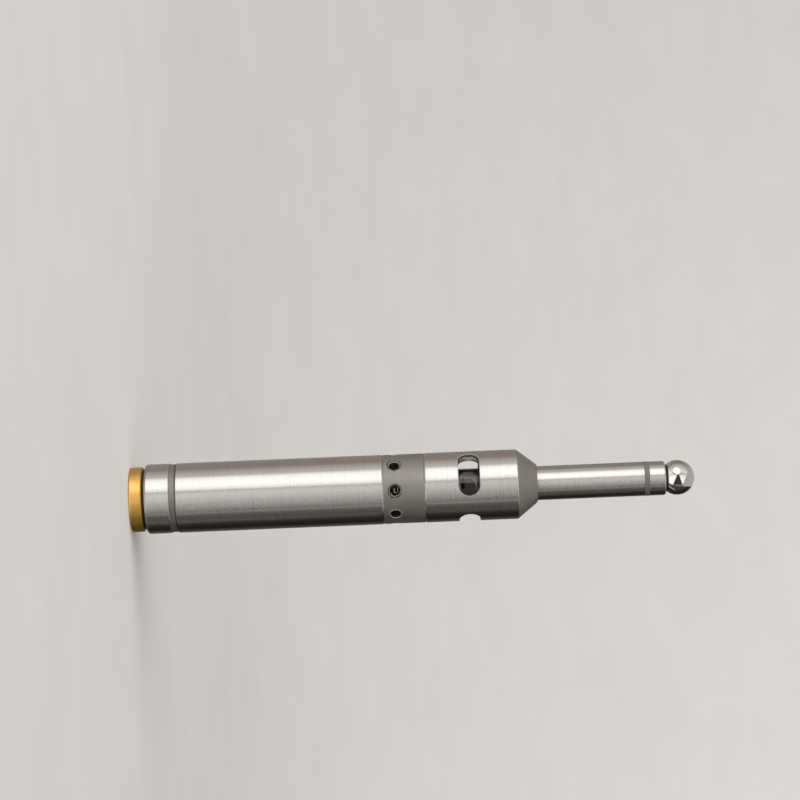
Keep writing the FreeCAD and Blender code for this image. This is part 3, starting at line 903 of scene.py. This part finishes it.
# =====================================================================
# light: a room of soft panels, written as directions round the tool
# =====================================================================
world = bpy.data.worlds.new("studio")
SC.world = world
world.use_nodes = True
wt = world.node_tree
for nd in list(wt.nodes):
    wt.nodes.remove(nd)


def W(kind, **props):
    node = wt.nodes.new(kind)
    for k_, v_ in props.items():
        setattr(node, k_, v_)
    return node


def wlink(a, c):
    wt.links.new(a, c)


def wmath(op, a, c=None, d=None, clamp=False):
    node = W("ShaderNodeMath", operation=op)
    node.use_clamp = clamp
    for i, v in enumerate((a, c, d)):
        if v is None:
            continue
        if isinstance(v, (int, float)):
            node.inputs[i].default_value = v
        else:
            wlink(v, node.inputs[i])
    return node.outputs[0]


def wrange(v, a, c, lo, hi, smooth=True):
    node = W("ShaderNodeMapRange")
    node.interpolation_type = "SMOOTHSTEP" if smooth else "LINEAR"
    wlink(v, node.inputs["Value"])
    for nme, val in (("From Min", a), ("From Max", c), ("To Min", lo), ("To Max", hi)):
        node.inputs[nme].default_value = val
    return node.outputs[0]


tc = W("ShaderNodeTexCoord")
sep = W("ShaderNodeSeparateXYZ")
wlink(tc.outputs["Generated"], sep.inputs[0])
dx, dy, dz = sep.outputs
upc = wmath("MULTIPLY", dx, -1.0)
tow = wmath("MULTIPLY", dy, -1.0)
omega = wmath("ARCTAN2", upc, tow)                      # -pi .. pi
om_deg = wmath("MULTIPLY", omega, 180.0 / math.pi)
lam = wmath("MULTIPLY", wmath("ARCSINE", dz), 180.0 / math.pi)

# brightness round the tool, degrees above the line towards the camera
TONES = [(-180, 0.0776, 0.0744, 0.0661), (-155, 0.0664, 0.0651, 0.0567),
         (-140, 0.0306, 0.03, 0.0262), (-130, 0.0092, 0.0083, 0.0063),
         (-118, 0.0125, 0.0117, 0.0088), (-100, 0.0256, 0.0245, 0.0204),
         (-80, 0.0438, 0.0408, 0.034), (-62, 0.0706, 0.0655, 0.0578),
         (-50, 0.1102, 0.102, 0.0949), (-43, 0.0495, 0.0475, 0.0416),
         (-37, 0.1476, 0.1401, 0.1323), (-30, 0.4043, 0.3943, 0.3601),
         (-20, 0.6813, 0.664, 0.6137), (-8, 0.81, 0.7797, 0.7487),
         (8, 0.7301, 0.7368, 0.7053), (15, 0.6224, 0.618, 0.5914),
         (20, 0.3221, 0.3116, 0.297), (25, 0.3989, 0.3908, 0.3828),
         (32, 0.5655, 0.5342, 0.5105), (45, 0.6795, 0.6408, 0.6137),
         (60, 0.5771, 0.5351, 0.5031), (70, 0.5029, 0.4771, 0.4612),
         (77, 0.4409, 0.4283, 0.4098), (90, 0.3789, 0.3599, 0.3392),
         (100, 0.3054, 0.276, 0.2422), (106, 0.2245, 0.1851, 0.157),
         (112, 0.215, 0.1738, 0.1439), (122, 0.2032, 0.1712, 0.1437),
         (135, 0.1938, 0.1745, 0.1556), (150, 0.162, 0.155, 0.1468),
         (165, 0.1586, 0.1497, 0.1408), (180, 0.1477, 0.1412, 0.1331)]
STEEL_K = 0.66
ramp = W("ShaderNodeValToRGB")
ramp.color_ramp.interpolation = "LINEAR"
els = ramp.color_ramp.elements
while len(els) < len(TONES):
    els.new(0.5)
for el, (d_, r_, g_, b_) in zip(els, TONES):
    el.position = (d_ + 180) / 360.0
for el, (d_, r_, g_, b_) in zip(els, TONES):
    el.position = (d_ + 180) / 360.0
    el.color = (r_, g_, b_, 1)
wlink(wmath("MULTIPLY_ADD", om_deg, 1 / 360.0, 0.5), ramp.inputs["Fac"])


def wmixc(fac, a, c):
    node = W("ShaderNodeMix", data_type="RGBA")
    node.clamp_factor = True
    for sock, v in ((node.inputs[0], fac), (node.inputs[6], a), (node.inputs[7], c)):
        if isinstance(v, tuple):
            sock.default_value = (*v, 1)
        elif isinstance(v, (int, float)):
            sock.default_value = v
        else:
            wlink(v, sock)
    return node.outputs[2]


def wvec(op, a, c):
    node = W("ShaderNodeVectorMath", operation=op)
    for i, v in enumerate((a, c)):
        if v is None:
            continue
        if isinstance(v, (tuple, Vector)):
            node.inputs[i].default_value = tuple(v)
        else:
            wlink(v, node.inputs[i])
    return node


# The panels are laid out on the half-way direction between the incoming
# light and one fixed line of sight: hx runs along the tool, hy above it.
BALL_C = Vector((0.0, 0.0, 157.3))
SIGHT = (Vector((0.0, -perp.length, P0_Z - along)) - BALL_C).normalized()
HX_AX = (right - SIGHT * right.dot(SIGHT)).normalized()
HY_AX = (up - SIGHT * up.dot(SIGHT)).normalized()
nrm_ = wvec("NORMALIZE", tc.outputs["Generated"], None).outputs[0]
halfv = wvec("NORMALIZE", wvec("ADD", nrm_, SIGHT).outputs[0], None).outputs[0]
hx = wvec("DOT_PRODUCT", halfv, HX_AX).outputs["Value"]
hy = wvec("DOT_PRODUCT", halfv, HY_AX).outputs["Value"]


def polygon(points, soft=0.02):
    """Mask of a convex outline, anticlockwise, in (hx, hy)."""
    out_ = None
    n_ = len(points)
    for i in range(n_):
        (x0_, y0_), (x1_, y1_) = points[i], points[(i + 1) % n_]
        l_ = math.hypot(x1_ - x0_, y1_ - y0_)
        nx_, ny_ = -(y1_ - y0_) / l_, (x1_ - x0_) / l_
        d_ = wmath("MULTIPLY_ADD", hx, nx_, wmath("MULTIPLY_ADD", hy, ny_,
                                                  -(nx_ * x0_ + ny_ * y0_)))
        d_ = wmath("MULTIPLY_ADD", d_, 1.0 / soft, 0.5)
        out_ = d_ if out_ is None else wmath("MINIMUM", out_, d_)
    return wmath("MULTIPLY", out_, 1.0, clamp=True)


def blob(cx, cy, rx, ry, soft=0.02):
    ex = wmath("MULTIPLY_ADD", hx, 1.0 / rx, -cx / rx)
    ey = wmath("MULTIPLY_ADD", hy, 1.0 / ry, -cy / ry)
    d_ = wmath("SQRT", wmath("MULTIPLY_ADD", ex, ex, wmath("MULTIPLY", ey, ey)))
    return wmath("MULTIPLY_ADD", wmath("SUBTRACT", 1.0, d_),
                 min(rx, ry) / soft, 0.5, clamp=True)


col = ramp.outputs["Color"]
# beyond the front of the room: plain walls, pale above and dark below
FRONT = polygon([(0.33, -0.42), (0.39, -0.256), (0.506, 0.0), (0.62, 0.238),
                 (0.65, 0.5), (0.477, 0.69), (0.157, 0.80), (-0.2, 0.77),
                 (-0.50, 0.52), (-0.50, -0.28), (-0.22, -0.42)], 0.03)
above = wrange(hy, -0.53, -0.50, 0, 1)
walls = wmixc(wrange(hx, -0.45, 0.45, 0, 1), (0.15, 0.135, 0.125), (0.35, 0.335, 0.32))
walls = wmixc(wrange(hy, 0.45, 0.75, 0, 1), walls, (0.25, 0.22, 0.205))
side = wmath("MULTIPLY", wmath("SUBTRACT", 1.0, FRONT),
             wmath("MULTIPLY", above, wrange(wmath("ABSOLUTE", hx), 0.25, 0.45, 0, 1)))
col = wmixc(side, col, walls)
# the two front panels beside the camera
LEFT_P = polygon([(-0.49, -0.30), (-0.22, -0.42), (-0.02, 0.13), (-0.10, 0.20),
                  (-0.47, 0.42)])
col = wmixc(wmath("MULTIPLY", LEFT_P, wrange(hy, 0.3, -0.25, 0.25, 1.0)), col,
            (1.05, 1.0, 0.97))
RIGHT_P = polygon([(0.16, 0.13), (0.31, -0.40), (0.38, -0.33), (0.52, 0.0),
                   (0.60, 0.22)])
col = wmixc(wmath("MULTIPLY", RIGHT_P, wrange(hy, 0.1, -0.25, 0.15, 1.0)), col,
            (0.95, 0.93, 0.88))
# dark gap between them
GAP = polygon([(-0.205, -0.41), (0.31, -0.41), (0.135, 0.16), (0.025, 0.16)], 0.03)
col = wmixc(GAP, col, (0.035, 0.033, 0.031))
# light strip low on the left
STRIP = polygon([(-0.45, -0.56), (-0.10, -0.74), (-0.13, -0.68), (-0.46, -0.49)], 0.03)
col = wmixc(STRIP, col, (0.36, 0.34, 0.31))
LINE_A = polygon([(-0.10, -0.465), (0.33, -0.475), (0.33, -0.435), (-0.10, -0.425)], 0.02)
col = wmixc(LINE_A, col, (0.26, 0.25, 0.23))
LINE_B = polygon([(-0.26, 0.265), (-0.05, 0.135), (-0.04, 0.18), (-0.24, 0.315)], 0.02)
col = wmixc(LINE_B, col, (0.08, 0.075, 0.07))
# main soft lamp
LAMP = polygon([(-0.20, 0.31), (-0.02, 0.175), (0.15, 0.22), (0.205, 0.38),
                (0.10, 0.54), (-0.07, 0.585), (-0.20, 0.48)], 0.03)
col = wmixc(LAMP, col, (1.3, 1.27, 1.24))

bg = W("ShaderNodeBackground")
wlink(col, bg.inputs["Color"])
bg.inputs["Strength"].default_value = 1.0 / STEEL_K
bgt = W("ShaderNodeBackground")
bgt.inputs["Color"].default_value = (0.030, 0.027, 0.023, 1)
bgt.inputs["Strength"].default_value = 1.0
bgc = W("ShaderNodeBackground")
bgc.inputs["Color"].default_value = (0.8, 0.79, 0.78, 1)
bgc.inputs["Strength"].default_value = 1.0
lpath = W("ShaderNodeLightPath")
mixt = W("ShaderNodeMixShader")
wlink(lpath.outputs["Is Transmission Ray"], mixt.inputs[0])
wlink(bg.outputs[0], mixt.inputs[1])
wlink(bgt.outputs[0], mixt.inputs[2])
mixs = W("ShaderNodeMixShader")
wlink(lpath.outputs["Is Camera Ray"], mixs.inputs[0])
wlink(mixt.outputs[0], mixs.inputs[1])
wlink(bgc.outputs[0], mixs.inputs[2])
out = W("ShaderNodeOutputWorld")
wlink(mixs.outputs[0], out.inputs["Surface"])

# soft light from above for the floor and the shoulders
sun = bpy.data.lights.new("overhead", "AREA")
sun.shape = "DISK"
sun.size = 1.2
sun.energy = 9.0
so = bpy.data.objects.new("overhead", sun)
so.location = (-0.5, -0.5, 1.5)
so.rotation_euler = (Vector((0, 0, 0)) - Vector((-0.5, -0.5, 1.5))).to_track_quat("-Z", "Y").to_euler()
so.visible_glossy = False
so.visible_camera = False
SC.collection.objects.link(so)
